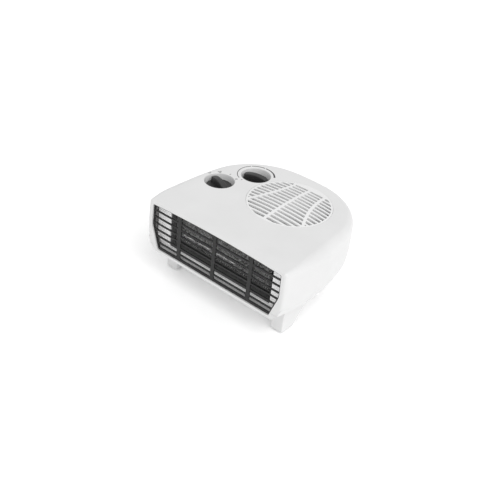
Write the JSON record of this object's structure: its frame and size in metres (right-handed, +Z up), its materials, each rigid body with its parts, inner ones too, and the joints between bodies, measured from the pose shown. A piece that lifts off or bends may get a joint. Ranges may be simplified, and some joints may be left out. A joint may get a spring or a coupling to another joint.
{
  "type": "fan convector heater",
  "caption": "Flat portable fan heater: bowed white housing on four feet, barred outlet in front, round barred inlet and rotary controls on top.",
  "frame": {"origin": "on the floor, under the middle of the heater's box", "axes": "+Z up, -Y towards the front outlet, +X to the right seen from the front"},
  "size_m": [0.257, 0.225, 0.1277],
  "materials": {
    "white_plastic": "smooth glossy moulding",
    "grille_plastic": "fine satin moulding",
    "knob_plastic": "smooth satin moulding",
    "rubber": "matt rubber",
    "zinc_steel": "zinc plated",
    "shaft_steel": "ground steel",
    "lamination_steel": "stacked sheet with a dark varnish",
    "coil_tape": "yellow winding tape",
    "bush_bronze": "sintered bronze",
    "mica": "pressed mica board",
    "heating_alloy": "oxidised resistance ribbon",
    "sleeve_glass_fibre": "braided glass fibre sleeve",
    "brass": "stamped brass",
    "phenolic": "moulded phenolic",
    "fan_plastic": "natural white nylon",
    "scroll_plastic": "heat resistant dark moulding",
    "terminal_nylon": "natural nylon"
  },
  "bodies": {
    "housing": {"top_cover": "white_plastic", "bottom_cover": "white_plastic", "inlet_grille": "white_plastic", "baffle_plate": "white_plastic", "air_duct": "scroll_plastic", "front_foot_left": "white_plastic", "front_foot_right": "white_plastic", "rear_foot_left": "white_plastic", "rear_foot_right": "white_plastic", "outlet_grille": "grille_plastic", "foot_pads": "rubber", "cord_gland": "rubber", "housing_screws": "zinc_steel", "foot_screws": "zinc_steel", "motor_screws": "zinc_steel", "control_screws": "zinc_steel", "cord_clamp_screws": "zinc_steel", "function_switch": "phenolic", "thermostat_block": "phenolic", "bimetal_strip": "brass", "control_terminals": "brass", "element_end_plates": "mica", "mica_boards": "mica", "heating_ribbon_low": "heating_alloy", "heating_ribbon_high": "heating_alloy", "thermal_fuse_sleeve": "sleeve_glass_fibre", "thermal_cutout": "phenolic", "fan_scroll": "scroll_plastic", "lower_bush": "bush_bronze", "upper_bush": "bush_bronze", "stator": "lamination_steel", "motor_coil": "coil_tape", "lower_bracket": "zinc_steel", "upper_bracket": "zinc_steel", "cord_clamp": "terminal_nylon", "terminal_block": "terminal_nylon"},
    "function_control": {"function_knob": "knob_plastic", "function_spindle": "shaft_steel"},
    "thermostat_control": {"thermostat_knob": "knob_plastic", "thermostat_spindle": "shaft_steel"},
    "fan": {"impeller": "fan_plastic", "motor_shaft": "shaft_steel", "rotor": "lamination_steel", "impeller_clip": "shaft_steel"}
  },
  "joints": [
    {"name": "function_turn", "type": "hinge", "parent": "housing", "child": "function_control", "pos_m": [-0.0869, -0.0035, 0.12], "axis": [0, 0, 1], "range_deg": [-100, 0]},
    {"name": "thermostat_turn", "type": "hinge", "parent": "housing", "child": "thermostat_control", "pos_m": [-0.0616, 0.0501, 0.12], "axis": [0, 0, 1], "range_deg": [-162, 50]},
    {"name": "fan_spin", "type": "hinge", "parent": "housing", "child": "fan", "pos_m": [0.021, 0.0238, 0.08], "axis": [0, 0, 1], "continuous": true}
  ]
}
